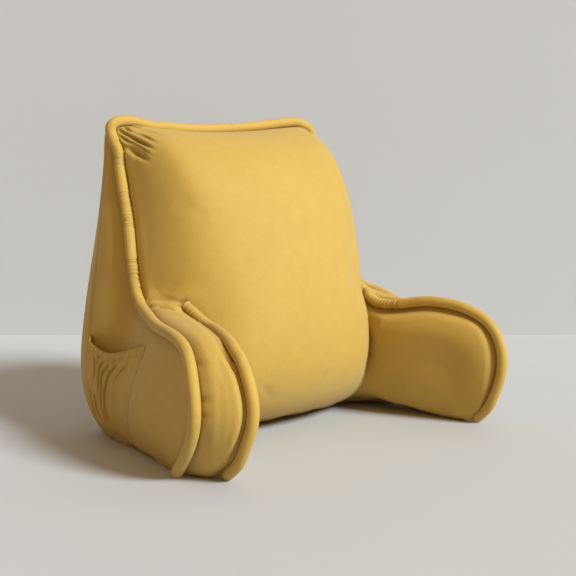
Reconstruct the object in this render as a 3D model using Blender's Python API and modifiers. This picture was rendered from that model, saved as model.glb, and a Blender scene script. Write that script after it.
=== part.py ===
"""Reading pillow with arms: a stuffed back and two splayed arms in one velour cover.

The cover is one filled body. Fat piping is sewn into its outer, inner and top seams, and a gathered
pocket is sewn to its left side. The origin is at the bottom centre, +Z is up and +Y is the rear, so the
arms reach towards -Y. Sizes are in metres.
"""

import math

import bmesh
import bpy
import numpy as np
from mathutils import Vector
from mathutils.bvhtree import BVHTree
from mathutils.kdtree import KDTree

# ------------------------------------------------------------------ driving sizes

DEPTH_SHIFT = -0.2156  # puts the middle of the pillow's depth at y = 0
SIDE_SHIFT = 0.0006  # puts the middle of its width at x = 0, as the arms differ a little
CAGE_LEVELS = 2  # subdivision levels of the body
UNDERSIDE = -0.012  # how far the slack underside would hang below the floor that presses it flat

PIPING_RADIUS = 0.0078
PIPING_STEP = 0.011  # between the points of a piping curve
PIPING_GAP = 0.0007  # between the round of a piping and the cover
PIPING_FLOOR_GAP = 0.0015
PIPING_EVENING = 4  # rounds of taking out small jogs and clearing the cover again
ROOT_SETBACK = 0.006  # how far along its seam an inner piping starts, clear of the crease
ROOT_FACING = (0.3, -0.2, 0.9)  # an inner piping starts on top of the arm: out, back, up
ROOT_POINTS = 4  # points over which its facing turns to that of the seam
SEAM_DEPTH = 0.0085  # how far the thread pulls the cover in along a seam
SEAM_WIDTH = 0.016  # how far to each side of the seam that pull is felt
LIFT_REACH = 0.02  # the farthest that a sewn-on piece is lifted past its clearance
LIFT_HALVINGS = 24

# Seams, as (out from the middle, back, up), from the top corner or the arm root to the floor.
OUTER_SEAM = {
    "left": {
        "corner": (0.198, 0.378, 0.461),
        "crest": (0.196, 0.374, 0.427),
        "shoulder": (0.196, 0.364, 0.382),
        "upper side": (0.199, 0.337, 0.328),
        "lower side": (0.208, 0.315, 0.267),
        "root": (0.215, 0.291, 0.211),
        "arm back": (0.236, 0.241, 0.198),
        "arm middle": (0.257, 0.186, 0.188),
        "arm fore": (0.273, 0.133, 0.184),
        "brow": (0.289, 0.081, 0.161),
        "front": (0.298, 0.043, 0.106),
        "chin": (0.293, 0.064, 0.050),
        "floor": (0.282, 0.110, 0.004),
    },
    "right": {
        "corner": (0.193, 0.378, 0.455),
        "crest": (0.195, 0.375, 0.423),
        "shoulder": (0.196, 0.366, 0.382),
        "upper side": (0.199, 0.339, 0.331),
        "lower side": (0.205, 0.318, 0.270),
        "root": (0.214, 0.294, 0.211),
        "arm back": (0.232, 0.241, 0.197),
        "arm middle": (0.251, 0.183, 0.179),
        "arm fore": (0.268, 0.130, 0.173),
        "brow": (0.286, 0.080, 0.155),
        "front": (0.297, 0.045, 0.103),
        "chin": (0.291, 0.067, 0.048),
        "floor": (0.276, 0.115, 0.004),
    },
}
INNER_SEAM = {
    "left": {
        "root": (0.180, 0.227, 0.194),
        "arm back": (0.182, 0.178, 0.183),
        "arm middle": (0.199, 0.129, 0.182),
        "arm fore": (0.218, 0.083, 0.177),
        "brow": (0.236, 0.030, 0.158),
        "front": (0.243, -0.003, 0.108),
        "chin": (0.242, 0.010, 0.050),
        "floor": (0.239, 0.052, 0.006),
    },
    "right": {
        "root": (0.181, 0.236, 0.193),
        "arm back": (0.188, 0.182, 0.181),
        "arm middle": (0.203, 0.132, 0.184),
        "arm fore": (0.219, 0.084, 0.184),
        "brow": (0.237, 0.030, 0.169),
        "front": (0.247, 0.003, 0.118),
        "chin": (0.250, 0.015, 0.055),
        "floor": (0.252, 0.048, 0.006),
    },
}
# Height of the top seam at the shoulder, half way out, and middle columns of the cage.
TOP_SEAM = {"left": (0.461, 0.462, 0.460, 0.450), "right": (0.457, 0.465, 0.465, 0.456)}
TOP_MIDDLE = 0.451

# The back, a row for each level from the floor up: the height, how far back the face lies at the
# middle, half way out and at the shoulder, how far out the shoulder is, the widest part of the side
# (out, back), the rear corner (out, back), and how far back the rear panel lies at the middle.
BACK_LEVELS = (
    # up, middle, half, shoulder, shoulder_out, side_out, side_back, rear_out, rear_back, rear_middle
    (UNDERSIDE, 0.262, 0.266, 0.276, 0.140, 0.242, 0.345, 0.214, 0.394, 0.402),
    (0.045, 0.166, 0.172, 0.188, 0.144, 0.260, 0.362, 0.241, 0.423, 0.433),
    (0.115, 0.140, 0.146, 0.162, 0.147, 0.260, 0.364, 0.241, 0.430, 0.444),
    (0.195, 0.146, 0.153, 0.178, 0.143, 0.245, 0.366, 0.229, 0.431, 0.444),
    (0.265, 0.164, 0.170, 0.197, 0.140, 0.231, 0.372, 0.216, 0.427, 0.440),
    (0.335, 0.190, 0.196, 0.219, 0.140, 0.220, 0.384, 0.203, 0.421, 0.432),
    (0.402, 0.226, 0.232, 0.250, 0.145, 0.210, 0.396, 0.194, 0.417, 0.425),
    (0.448, 0.292, 0.294, 0.300, 0.147, 0.205, 0.397, 0.187, 0.412, 0.416),
    (0.459, 0.377, 0.377, 0.377, 0.148, 0.201, 0.393, 0.181, 0.404, 0.405),
)
TOP_RIDGE = 0.452  # height of the top between the seam and the rear panel
TOP_FALL = 0.004  # how far the top falls from the seam to that ridge
REAR_EDGE_FALL = 0.014  # and from the ridge to the rear edge

# The crease where an arm's inner face meets the front panel, from the floor up, as (out, back).
CREASE = ((0.190, 0.285), (0.174, 0.240), (0.170, 0.226))

# The arms' faces at each section from the brow to the root: how far the outer face bulges past the
# outer seam and the inner face past the inner seam, low down and half way up, and how far out the
# two lower edges are.
ARM_SECTIONS = (
    # outer_low, outer_mid, inner_low, inner_mid, outer_foot, inner_foot, foot_back
    (0.000, 0.000, 0.000, 0.000, 0.282, 0.245, 0.000),
    (0.018, 0.020, 0.014, 0.020, 0.272, 0.233, 0.012),
    (0.026, 0.026, 0.018, 0.024, 0.264, 0.218, 0.006),
    (0.034, 0.034, 0.014, 0.020, 0.254, 0.206, 0.002),
    (0.044, 0.044, 0.000, 0.000, 0.250, 0.190, 0.008),
)
ARM_LEVELS = (0.045, 0.110)  # heights of the two cage levels between the floor and the arm top
ARM_CROWN = (0.008, 0.020, 0.022, 0.022, 0.014)  # rise of the boxing strip from brow to root
FRONT_CROWN = (0.006, 0.016, 0.017)  # how far the boxing strip bulges forward at floor, chin, front

# Cage columns from the side towards the middle, as shares of the way from seam to shoulder.
EDGE_COLUMNS = ((0.20, 0.42), (0.55, 0.82))  # (sideways, forwards)
REAR_COLUMNS = (1.0, 0.90, 0.80, 0.62, 0.32, 0.0)  # as shares of the way from middle to rear corner

# Folds of the cover: each a line from one (out, back, up) to another, how wide and how deep it is. A
# negative depth is a roll that stands up.
FOLDS = (
    # side, start, end, width, depth
    ("left", (0.178, 0.372, 0.455), (0.124, 0.328, 0.440), 0.0050, 0.0050),
    ("left", (0.184, 0.370, 0.452), (0.148, 0.326, 0.438), 0.0050, 0.0055),
    ("left", (0.190, 0.368, 0.445), (0.162, 0.316, 0.425), 0.0050, 0.0060),
    ("left", (0.192, 0.366, 0.434), (0.171, 0.310, 0.408), 0.0065, 0.0070),
    ("left", (0.212, 0.276, 0.206), (0.178, 0.230, 0.200), 0.0060, -0.0050),
    ("right", (0.212, 0.276, 0.206), (0.178, 0.230, 0.198), 0.0060, -0.0050),
)
FOLD_FACING_RADIUS = 0.025  # the part of the cover whose facing gives a fold its direction
FINE_AREAS = (
    # side, centre, radius
    ("left", (0.165, 0.345, 0.440), 0.060),
    ("left", (0.195, 0.250, 0.205), 0.034),
    ("right", (0.195, 0.250, 0.205), 0.034),
)

# The pocket on the left side, a row from the mouth down: where its front and rear seams run, as
# (back, up) each, and how far it sags between them.
POCKET_ROWS = (
    # front_back, front_up, rear_back, rear_up, sag
    (0.206, 0.157, 0.373, 0.149, 0.019),
    (0.222, 0.116, 0.371, 0.116, 0.012),
    (0.237, 0.078, 0.371, 0.078, 0.005),
    (0.250, 0.042, 0.366, 0.042, 0.000),
    (0.253, 0.012, 0.354, 0.012, 0.000),
)
POCKET_FOLDS = (
    # mouth, middle, foot: how far across the gather runs; first, last: from where to where; deep
    (0.40, 0.59, 0.26, 0.08, 1.00, 0.0040),
    (0.60, 0.71, 0.44, 0.06, 0.62, 0.0030),
    (0.72, 0.80, 0.60, 0.05, 0.95, 0.0032),
    (0.84, 0.90, 0.74, 0.04, 0.85, 0.0028),
    (0.25, 0.46, 0.20, 0.10, 0.45, 0.0018),
)
POCKET_FOLD_WIDTH = 0.032  # as a share of the pocket's width
POCKET_THICKNESS = 0.0016
POCKET_GAP = 0.0007  # between the cover and the sewn edges
POCKET_PUFF = 0.0042  # how far the gathered cloth stands out between its seams
POCKET_MOUTH_GAP = 0.0105  # how far the mouth stands open
POCKET_MOUTH_DEPTH = 0.45  # how far down the mouth's opening is felt, as a share of the height
POCKET_DROOP_PEAK = 0.325  # greatest value of the droop curve, which peaks near the rear seam
POCKET_NORMAL_RADIUS = 0.022
POCKET_CAST_FROM = 0.40  # outside the pillow
POCKET_MESH = (34, 10)

SIDES = {"left": -1, "right": 1}
ARM_STATIONS = ("brow", "arm fore", "arm middle", "arm back", "root")
SEAM_HEIGHTS = ("floor", "chin", "front", "brow")
BACK_STATIONS = ("root", "lower side", "upper side", "shoulder", "crest", "corner")
OUTER, STRIP, INNER, SHOULDER, HALF, MIDDLE = range(6)  # cage columns, side to middle
FACE, CORE, REAR = 4, 5, 6  # cage rows of the back; rows 0 to 4 run along the arms
ARM_TOP, TOP = 3, 8  # cage levels
LAST_COLUMN = 2 * MIDDLE


# ------------------------------------------------------------------ helpers


def clear_scene():
    for old in list(bpy.data.objects):
        bpy.data.objects.remove(old, do_unlink=True)


def collection(name):
    made = bpy.data.collections.new(name)
    bpy.context.scene.collection.children.link(made)
    return made


def material(name, colour, roughness):
    made = bpy.data.materials.new(name)
    made.use_nodes = True
    shader = made.node_tree.nodes["Principled BSDF"]
    shader.inputs["Base Color"].default_value = (*colour, 1.0)
    shader.inputs["Roughness"].default_value = roughness
    shader.inputs["Metallic"].default_value = 0.0
    made.diffuse_color = (*colour, 1.0)
    return made


def through(points):
    """Control points of the cubic B-spline that passes through the points and keeps its two ends."""
    rows = np.array(points, float)
    system = np.eye(len(rows))
    for i in range(1, len(rows) - 1):
        system[i, i - 1 : i + 2] = (1 / 6, 4 / 6, 1 / 6)
    return np.linalg.solve(system, rows)


def spline(control, per_span=12):
    """Points along the curve to which a creased chain of cage edges subdivides."""
    ends = np.vstack((2 * control[0] - control[1], control, 2 * control[-1] - control[-2]))
    share = np.linspace(0, 1, per_span, endpoint=False)[:, None]
    weights = (
        (1 - share) ** 3 / 6,
        (3 * share**3 - 6 * share**2 + 4) / 6,
        (-3 * share**3 + 3 * share**2 + 3 * share + 1) / 6,
        share**3 / 6,
    )
    spans = [sum(w * ends[i + k] for k, w in enumerate(weights)) for i in range(len(ends) - 3)]
    return np.vstack((*spans, control[-1:]))


def spaced(line, step, start):
    """The same line from a start along it, with its points about one step apart."""
    along = np.concatenate(([0], np.cumsum(np.linalg.norm(np.diff(line, axis=0), axis=1))))
    at = np.linspace(start, along[-1], max(2, round((along[-1] - start) / step) + 1))
    return np.stack([np.interp(at, along, line[:, k]) for k in range(3)], axis=1)


def placed(side, point):
    """A point given as (out, back, up), on one side of the pillow."""
    out, back, up = point
    return np.array((SIDES[side] * out + SIDE_SHIFT, back + DEPTH_SHIFT, up))


# ------------------------------------------------------------------ seams


def seam_controls():
    """The control points of each seam, keyed by its name and side."""
    controls = {}
    for side in SIDES:
        controls["outer", side] = through([placed(side, p) for p in OUTER_SEAM[side].values()])
        controls["inner", side] = through([placed(side, p) for p in INNER_SEAM[side].values()])
    return controls


def seam_point(controls, kind, side, station):
    table = OUTER_SEAM if kind == "outer" else INNER_SEAM
    return controls[kind, side][list(table[side]).index(station)]


# ------------------------------------------------------------------ the cover's surface


class Cover:
    """The outside of the body, for seating what is sewn to it."""

    def __init__(self, mesh):
        places = [vertex.co for vertex in mesh.vertices]
        self.normals = [vertex.normal for vertex in mesh.vertices]
        self.surface = BVHTree.FromPolygons(places, [tuple(face.vertices) for face in mesh.polygons])
        self.vertices = KDTree(len(places))
        for i, place in enumerate(places):
            self.vertices.insert(place, i)
        self.vertices.balance()

    def outward(self, point, radius):
        """The mean direction in which the cover faces around a point."""
        near = self.vertices.find_range(point, radius)
        return sum((self.normals[i] for _, i, _ in near), Vector()).normalized()

    def clearance(self, point):
        """The distance to the cover, negative inside it."""
        hit, normal, _, away = self.surface.find_nearest(point)
        return away if (point - hit).dot(normal) >= 0 else -away

    def lifted(self, point, outward, clear, deepest):
        """The nearest place along the outward line that is clear of the cover."""
        low, high = deepest, clear + LIFT_REACH
        for _ in range(LIFT_HALVINGS):
            middle = (low + high) / 2
            if self.clearance(point + outward * middle) < clear:
                low = middle
            else:
                high = middle
        return point + outward * high


# ------------------------------------------------------------------ body


def column(side, k):
    """The cage column that lies k columns in from one side."""
    return k if side == "left" else LAST_COLUMN - k


def arm_cage(cage, controls, side):
    """Cage points of one arm, from the brow (row 0) to the root (row 4)."""
    for row, station in enumerate(ARM_STATIONS):
        outer = seam_point(controls, "outer", side, station)
        inner = seam_point(controls, "inner", side, station)
        strip = (outer + inner) / 2 + (0, 0, ARM_CROWN[row])
        for k, point in ((OUTER, outer), (STRIP, strip), (INNER, inner)):
            cage[column(side, k), row, ARM_TOP] = point
        if row == 0:
            continue
        outer_low, outer_mid, inner_low, inner_mid, outer_foot, inner_foot, foot_back = ARM_SECTIONS[row]
        bulges = ((outer_low, inner_low), (outer_mid, inner_mid))
        for level, (height, (out_bulge, in_bulge)) in enumerate(zip(ARM_LEVELS, bulges), start=1):
            outward = SIDES[side] * out_bulge
            inward = SIDES[side] * in_bulge
            cage[column(side, OUTER), row, level] = np.array((outer[0] + outward, outer[1], height))
            cage[column(side, INNER), row, level] = np.array((inner[0] - inward, inner[1], height))
        feet = ((OUTER, outer_foot, outer[1], 0.0), (INNER, inner_foot, inner[1], 0.0))
        for k, out, back, up in feet:
            across = SIDES[side] * out + SIDE_SHIFT
            cage[column(side, k), row, 0] = np.array((across, back + foot_back, up))
        middle = (cage[column(side, OUTER), row, 0] + cage[column(side, INNER), row, 0]) / 2
        cage[column(side, STRIP), row, 0] = middle + (0, 0, UNDERSIDE)


def arm_front_cage(cage, controls, side):
    """Cage points of one arm's front, between the two seams, from the floor to below the brow."""
    for level, station in enumerate(SEAM_HEIGHTS[:ARM_TOP]):
        outer = seam_point(controls, "outer", side, station)
        inner = seam_point(controls, "inner", side, station)
        cage[column(side, OUTER), 0, level] = outer
        cage[column(side, INNER), 0, level] = inner
        cage[column(side, STRIP), 0, level] = (outer + inner) / 2 - (0, FRONT_CROWN[level], 0)


def crease_cage(cage, side):
    """Cage points of the crease between one arm's inner face and the front panel."""
    heights = (0.0, *ARM_LEVELS)
    for level, ((out, back), height) in enumerate(zip(CREASE, heights)):
        cage[column(side, INNER), FACE, level] = placed(side, (out, back, height))


def face_cage(cage, controls, side):
    """Cage points of one half of the front panel."""
    for level, row in enumerate(BACK_LEVELS):
        up, middle, half, shoulder, shoulder_out = row[:5]
        if level == TOP:
            heights = TOP_SEAM[side]
        else:
            heights = (up,) * 4
        across = (
            (SHOULDER, shoulder_out, shoulder, heights[2]),
            (HALF, shoulder_out / 2, half, heights[3]),
            (MIDDLE, 0.0, middle, TOP_MIDDLE if level == TOP else up),
        )
        for k, out, back, height in across:
            cage[column(side, k), FACE, level] = placed(side, (out, back, height))
        if level <= ARM_TOP:
            continue
        seam = seam_point(controls, "outer", side, BACK_STATIONS[level - ARM_TOP])
        rim = cage[column(side, SHOULDER), FACE, level]
        cage[column(side, OUTER), FACE, level] = seam
        for k, (sideways, forwards) in enumerate(EDGE_COLUMNS, start=STRIP):
            point = seam + (rim - seam) * (sideways, forwards, sideways)
            if level == TOP:
                point[2] = heights[k - STRIP]
            cage[column(side, k), FACE, level] = point


def rear_cage(cage, side):
    """Cage points of one half of the side, rear, top and base of the back."""
    for level, row in enumerate(BACK_LEVELS):
        up = row[0]
        side_out, side_back, rear_out, rear_back, rear_middle = row[5:]
        for k, share in enumerate(REAR_COLUMNS):
            back = rear_middle + (rear_back - rear_middle) * share**2
            height = up if level < TOP else TOP_RIDGE - REAR_EDGE_FALL
            cage[column(side, k), REAR, level] = placed(side, (rear_out * share, back, height))
            if k == OUTER:
                height = up if level < TOP else TOP_RIDGE
                if level == 0:
                    height = 0.0
                cage[column(side, k), CORE, level] = placed(side, (side_out, side_back, height))
            elif level == TOP:
                face = cage[column(side, k), FACE, TOP]
                ridge = np.array((face[0], side_back + DEPTH_SHIFT, face[2] - TOP_FALL))
                cage[column(side, k), CORE, TOP] = ridge
            elif level == 0:
                cage[column(side, k), CORE, 0] = placed(side, (side_out * share, side_back, UNDERSIDE))


def is_filled(cell):
    """Whether a cell of the cage's lattice is part of the pillow."""
    u, v, w = cell
    in_back = FACE <= v < REAR and 0 <= w < TOP
    in_arm = 0 <= v < FACE and 0 <= w < ARM_TOP and (u < INNER or u >= LAST_COLUMN - INNER)
    return 0 <= u < LAST_COLUMN and (in_back or in_arm)


def cage_faces():
    """The lattice corners of each outer face of the filled cells, turning outwards."""
    faces = []
    for u in range(LAST_COLUMN):
        for v in range(REAR):
            for w in range(TOP):
                if not is_filled((u, v, w)):
                    continue
                for axis in range(3):
                    for step in (-1, 1):
                        beside = [u, v, w]
                        beside[axis] += step
                        if is_filled(beside):
                            continue
                        corner = [u, v, w]
                        corner[axis] += step > 0
                        first, second = ((axis + 1) % 3, (axis + 2) % 3)
                        loop = []
                        for a, b in ((0, 0), (1, 0), (1, 1), (0, 1)):
                            point = list(corner)
                            point[first] += a
                            point[second] += b
                            loop.append(tuple(point))
                        faces.append(loop if step > 0 else loop[::-1])
    return faces


def seam_edges(side):
    """Pairs of lattice corners that lie along one side's seams."""
    outer = [(column(side, OUTER), FACE, w) for w in range(TOP, ARM_TOP - 1, -1)]
    outer += [(column(side, OUTER), v, ARM_TOP) for v in range(FACE - 1, -1, -1)]
    outer += [(column(side, OUTER), 0, w) for w in range(ARM_TOP - 1, -1, -1)]
    inner = [(column(side, INNER), v, ARM_TOP) for v in range(FACE, -1, -1)]
    inner += [(column(side, INNER), 0, w) for w in range(ARM_TOP - 1, -1, -1)]
    top = [(column(side, k), FACE, TOP) for k in range(MIDDLE + 1)]
    return [pair for chain in (outer, inner, top) for pair in zip(chain, chain[1:])]


def body_mesh(controls):
    """The body as a smooth mesh, before the seams are pulled in and the floor presses it."""
    cage = {}
    for side in SIDES:
        arm_cage(cage, controls, side)
        arm_front_cage(cage, controls, side)
        crease_cage(cage, side)
        face_cage(cage, controls, side)
        rear_cage(cage, side)
    build = bmesh.new()
    crease = build.edges.layers.float.new("crease_edge")
    verts = {}
    for loop in cage_faces():
        for corner in loop:
            if corner not in verts:
                verts[corner] = build.verts.new(cage[corner])
        build.faces.new([verts[corner] for corner in loop])
    for side in SIDES:
        for start, end in seam_edges(side):
            build.edges.get((verts[start], verts[end]))[crease] = 1.0
    mesh = bpy.data.meshes.new("body_cage")
    build.to_mesh(mesh)
    build.free()
    guide = bpy.data.objects.new("body_cage", mesh)
    bpy.context.scene.collection.objects.link(guide)
    smooth = guide.modifiers.new("soft form", "SUBSURF")
    smooth.levels = CAGE_LEVELS
    smooth.render_levels = CAGE_LEVELS
    smooth.boundary_smooth = "ALL"
    graph = bpy.context.evaluated_depsgraph_get()
    made = bpy.data.meshes.new_from_object(guide.evaluated_get(graph))
    bpy.data.objects.remove(guide, do_unlink=True)
    return made


def top_seam_points(controls):
    """The cage points of the top seam between its corners, from left to right."""
    cage = {}
    for side in SIDES:
        face_cage(cage, controls, side)
    return [cage[u, FACE, TOP] for u in range(STRIP, LAST_COLUMN)]


def seam_lines(controls):
    """Each seam as a dense line of points; the outer one runs from floor to floor over the top."""
    around = np.vstack(
        (controls["outer", "left"][::-1], top_seam_points(controls), controls["outer", "right"])
    )
    lines = {"piping_outer": spline(around)}
    for side in SIDES:
        lines[f"piping_inner_{side}"] = spline(controls["inner", side])
    return lines


def refine(mesh, centre, radius):
    """Halves the faces around a point, so that its folds have enough faces to show."""
    build = bmesh.new()
    build.from_mesh(mesh)
    near = {
        edge
        for face in build.faces
        if (face.calc_center_median() - centre).length < radius
        for edge in face.edges
    }
    bmesh.ops.subdivide_edges(build, edges=list(near), cuts=1, use_grid_fill=True)
    build.to_mesh(mesh)
    build.free()


def add_folds(mesh):
    """Presses the corner's gathers into the cover and raises the rolls at the arm roots."""
    cover = Cover(mesh)
    for side, *ends, width, depth in FOLDS:
        start, end = (Vector(placed(side, point)) for point in ends)
        along = end - start
        outward = cover.outward((start + end) / 2, FOLD_FACING_RADIUS)
        for vertex in mesh.vertices:
            share = (vertex.co - start).dot(along) / along.length_squared
            share = min(1.0, max(0.0, share))
            away = (vertex.co - start - along * share).length
            if away < 3 * width:
                fade = math.sin(math.pi * share) ** 0.6
                vertex.co -= outward * depth * fade * math.exp(-((away / width) ** 2))


def pull_in_seams(mesh, lines):
    """Draws the cover in along every seam."""
    points = np.vstack(list(lines.values()))
    tree = KDTree(len(points))
    for i, point in enumerate(points):
        tree.insert(point, i)
    tree.balance()
    normals = [vertex.normal.copy() for vertex in mesh.vertices]
    for vertex, normal in zip(mesh.vertices, normals):
        away = tree.find(vertex.co)[2]
        if away < SEAM_WIDTH:
            share = 1 - away / SEAM_WIDTH
            vertex.co -= normal * SEAM_DEPTH * share**1.5


def press_on_floor(mesh):
    """Flattens what hangs below the floor into one flat underside."""
    build = bmesh.new()
    build.from_mesh(mesh)
    for vertex in build.verts:
        vertex.co.z = max(vertex.co.z, 0.0)
    flat = [face for face in build.faces if all(vertex.co.z == 0.0 for vertex in face.verts)]
    bmesh.ops.dissolve_faces(build, faces=flat, use_verts=True)
    build.to_mesh(mesh)
    build.free()


# ------------------------------------------------------------------ piping


def facings(starts, cover, from_root):
    """The way out of the cover at each point of a seam."""
    facing = [cover.outward(start, 2 * SEAM_WIDTH) for start in starts]
    if from_root:
        root = Vector((math.copysign(ROOT_FACING[0], starts[0].x), *ROOT_FACING[1:]))
        for i in range(ROOT_POINTS):
            facing[i] = root.lerp(facing[i], i / ROOT_POINTS).normalized()
    eased = [(a + b + c).normalized() for a, b, c in zip(facing, facing[1:], facing[2:])]
    return [facing[0], *eased, facing[-1]]


def seated(line, cover, from_root):
    """Moves a seam's line out until a piping around it just clears the cover."""
    clear = PIPING_RADIUS + PIPING_GAP
    starts = [Vector(point) for point in line]
    outwards = facings(starts, cover, from_root)
    last = len(starts) - 1
    places = [
        cover.lifted(start, outward, clear, -SEAM_DEPTH) for start, outward in zip(starts, outwards)
    ]
    for _ in range(PIPING_EVENING):
        eased = [(a + 2 * b + c) / 4 for a, b, c in zip(places, places[1:], places[2:])]
        places = [places[0], *eased, places[-1]]
        for i, outward in enumerate(outwards):
            near = [places[i]]
            near += [(places[i] + places[k]) / 2 for k in (i - 1, i + 1) if 0 <= k <= last]
            short = clear - min(cover.clearance(place) for place in near)
            if short > 0:
                places[i] = places[i] + outward * short
    return np.array(places)


def ending_above_floor(line):
    """Trims or lengthens a line's last stretch, so that the round of its end just clears the floor."""
    while True:
        way = line[-1] - line[-2]
        length = np.linalg.norm(way)
        way /= length
        lowest = line[-1][2] - PIPING_RADIUS * math.sqrt(1 - way[2] ** 2)
        further = (lowest - PIPING_FLOOR_GAP) / -way[2]
        if length + further > PIPING_STEP / 4:
            line[-1] += way * further
            return line
        line = line[:-1]


def piping(name, line, finish, parts):
    """A fat round welt along a line."""
    curve = bpy.data.curves.new(name, "CURVE")
    curve.dimensions = "3D"
    curve.bevel_depth = PIPING_RADIUS
    curve.bevel_resolution = 2
    curve.use_fill_caps = True
    curve.render_resolution_u = 0
    track = curve.splines.new("POLY")
    track.points.add(len(line) - 1)
    for point, place in zip(track.points, line):
        point.co = (*place, 1.0)
    curve.materials.append(finish)
    welt = bpy.data.objects.new(name, curve)
    parts.objects.link(welt)
    return welt


# ------------------------------------------------------------------ pocket


def pocket_fold_depth(across, down):
    """How far the gathers draw the pocket in at a place, given as shares of its width and height."""
    depth = 0.0
    for mouth, middle, foot, first, last, deep in POCKET_FOLDS:
        bend = (1 - 2 * down) ** 2
        line = middle + ((mouth if down < 0.5 else foot) - middle) * bend
        fade = max(0.0, min(1.0, (down - first) / 0.12, (last - down) / 0.2))
        depth += deep * fade * math.exp(-(((across - line) / POCKET_FOLD_WIDTH) ** 2))
    return depth


def pocket_place(across, down, cover):
    """A point of the pocket's outer face, from its front seam (0) to its rear seam (1)."""
    at = down * (len(POCKET_ROWS) - 1)
    i = min(int(at), len(POCKET_ROWS) - 2)
    above, below = np.array(POCKET_ROWS[i]), np.array(POCKET_ROWS[i + 1])
    front_back, front_up, rear_back, rear_up, sag = above + (below - above) * (at - i)
    back = front_back + (rear_back - front_back) * across
    droop = across**1.5 * math.sqrt(1 - across) / POCKET_DROOP_PEAK
    up = front_up + (rear_up - front_up) * across - sag * droop
    outside = Vector(placed("left", (POCKET_CAST_FROM, back, up)))
    hit = cover.surface.ray_cast(outside, Vector((1, 0, 0)))[0]
    outward = cover.outward(hit, POCKET_NORMAL_RADIUS)
    middle = math.sin(math.pi * across)
    stand = POCKET_MOUTH_GAP * middle**0.6 * max(0.0, 1 - down / POCKET_MOUTH_DEPTH) ** 1.5
    sewn = min(1.0, 6 * across, 6 * (1 - across), 5 * (1 - down))
    puff = sewn * (POCKET_PUFF - pocket_fold_depth(across, down))
    clear = POCKET_THICKNESS + POCKET_GAP + stand + max(0.0, puff)
    return cover.lifted(hit, outward, clear, 0.0)


def pocket(cover, finish, parts):
    """The gathered pocket: a thin sheet that is sewn down on three sides and stands open at its mouth."""
    build = bmesh.new()
    columns, rows = POCKET_MESH
    bmesh.ops.create_grid(build, x_segments=columns, y_segments=rows, size=0.5)
    for vertex in build.verts:
        across, down = 0.5 + vertex.co.x, 0.5 - vertex.co.y
        vertex.co = pocket_place(across, down, cover)
    build.normal_update()
    middle = build.faces[:][len(build.faces) // 2]
    if middle.normal.x > 0:
        bmesh.ops.reverse_faces(build, faces=build.faces[:])
    mesh = bpy.data.meshes.new("pocket_left")
    build.to_mesh(mesh)
    build.free()
    mesh.shade_smooth()
    mesh.materials.append(finish)
    sheet = bpy.data.objects.new("pocket_left", mesh)
    parts.objects.link(sheet)
    wall = sheet.modifiers.new("cloth thickness", "SOLIDIFY")
    wall.thickness = POCKET_THICKNESS
    wall.offset = -1.0
    wall.use_even_offset = False
    return sheet


# ------------------------------------------------------------------ build


def main():
    clear_scene()
    parts = collection("reading_pillow")
    velour = material("mustard velour", (0.68, 0.43, 0.12), 0.9)
    welt = material("mustard piping", (0.72, 0.47, 0.14), 0.85)

    controls = seam_controls()
    lines = seam_lines(controls)
    mesh = body_mesh(controls)
    for side, centre, radius in FINE_AREAS:
        refine(mesh, Vector(placed(side, centre)), radius)
    add_folds(mesh)
    pull_in_seams(mesh, lines)
    press_on_floor(mesh)
    mesh.shade_smooth()
    mesh.materials.clear()
    mesh.materials.append(velour)
    body = bpy.data.objects.new("body", mesh)
    parts.objects.link(body)

    cover = Cover(mesh)
    for name, line in lines.items():
        from_root = name != "piping_outer"
        line = spaced(line, PIPING_STEP, ROOT_SETBACK if from_root else 0.0)
        track = ending_above_floor(seated(line, cover, from_root))
        if not from_root:
            track = ending_above_floor(track[::-1])
        piping(name, track, welt, parts)
    pocket(cover, velour, parts)


main()
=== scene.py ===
"""Reading pillow with arms: its stuffed velour cover, fat piping, side pocket and a small studio.

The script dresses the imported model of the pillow. Sizes are in metres, +Z is up, +Y is the pillow's rear
and the pocket is sewn to its -X side.
"""

import math

import bmesh
import bpy
import numpy as np
from bpy.props import FloatProperty, FloatVectorProperty, IntProperty, PointerProperty
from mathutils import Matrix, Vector
from mathutils.bvhtree import BVHTree
from mathutils.kdtree import KDTree


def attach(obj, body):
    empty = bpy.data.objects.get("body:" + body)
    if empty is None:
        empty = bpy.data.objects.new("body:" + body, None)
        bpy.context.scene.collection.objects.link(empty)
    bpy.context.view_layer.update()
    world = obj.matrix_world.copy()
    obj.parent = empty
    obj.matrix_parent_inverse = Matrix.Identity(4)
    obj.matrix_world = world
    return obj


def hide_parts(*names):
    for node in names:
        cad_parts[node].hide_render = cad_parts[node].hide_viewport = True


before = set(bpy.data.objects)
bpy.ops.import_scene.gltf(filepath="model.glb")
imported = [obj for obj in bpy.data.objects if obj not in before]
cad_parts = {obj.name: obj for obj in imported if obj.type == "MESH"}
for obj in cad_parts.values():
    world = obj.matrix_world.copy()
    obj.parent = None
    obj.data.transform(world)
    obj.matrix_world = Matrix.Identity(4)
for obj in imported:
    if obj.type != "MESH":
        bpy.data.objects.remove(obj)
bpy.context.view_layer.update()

bl_info = {
    "name": "Reading Pillow with Arms",
    "version": (1, 0, 0),
    "blender": (4, 5, 0),
    "location": "View3D > Sidebar > Pillow",
    "description": "Sews and stuffs a reading pillow with arms, piping and a gathered pocket",
    "category": "Add Mesh",
}

PIPING_NODES = ("piping_outer", "piping_inner_left", "piping_inner_right")

# ------------------------------ the cover's creases

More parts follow.
